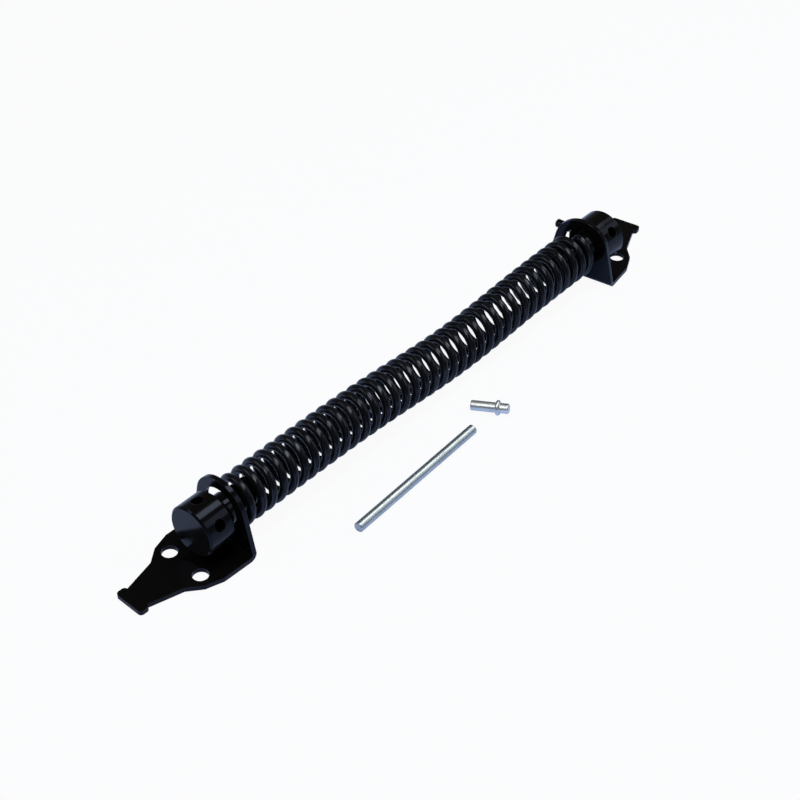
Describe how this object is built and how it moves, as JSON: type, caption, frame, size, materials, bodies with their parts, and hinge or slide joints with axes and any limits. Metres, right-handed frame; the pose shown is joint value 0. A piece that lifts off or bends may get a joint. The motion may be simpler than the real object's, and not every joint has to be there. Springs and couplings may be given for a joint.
{
  "type": "gate spring closer",
  "caption": "Torsion-coil gate closer: bent steel brackets at both ends, turned tension collars with bar holes, a stop pin, and a loose tension bar and locking pin.",
  "frame": {"origin": "midway between the near bracket's two screw holes, on its mounting face", "axes": "+X along the coil spring from the near bracket to the far one, +Z off the mounting face, +Y to the left"},
  "size_m": [0.4039, 0.075, 0.0384],
  "materials": {
    "black_steel": "gloss black electro-coat on steel",
    "black_spring_steel": "satin to gloss black electro-coat on spring wire",
    "zinc_steel": "bright zinc plate on drawn steel rod"
  },
  "bodies": {
    "near_bracket": {"near_bracket": "black_steel"},
    "near_collar": {"near_collar": "black_steel", "coil_spring": "black_spring_steel"},
    "far_collar": {"far_collar": "black_steel", "stop_pin": "black_steel"},
    "far_bracket": {"far_bracket": "black_steel"},
    "tension_bar": {"tension_bar": "zinc_steel"},
    "locking_pin": {"locking_pin": "zinc_steel"}
  },
  "joints": [
    {"name": "near_collar_turn", "type": "hinge", "parent": "near_bracket", "child": "near_collar", "pos_m": [0.02565, -0.00076, 0.0194], "axis": [1, 0, 0], "continuous": true},
    {"name": "spring_twist", "type": "hinge", "parent": "near_collar", "child": "far_collar", "pos_m": [0.16675, -0.00076, 0.0194], "axis": [1, 0, 0], "range_deg": [-170, 30], "stiffness_Nm_per_rad": 1.57, "deforming": ["coil_spring"]},
    {"name": "far_bracket_turn", "type": "hinge", "parent": "far_collar", "child": "far_bracket", "pos_m": [0.30785, -0.00076, 0.0194], "axis": [1, 0, 0], "range_deg": [-212, 25]},
    {"name": "tension_bar_lift", "type": "slide", "parent": "near_bracket", "child": "tension_bar", "axis": [0, 0, 1], "range_m": [0, 0.08]},
    {"name": "locking_pin_lift", "type": "slide", "parent": "near_bracket", "child": "locking_pin", "axis": [0, 0, 1], "range_m": [0, 0.08]}
  ]
}
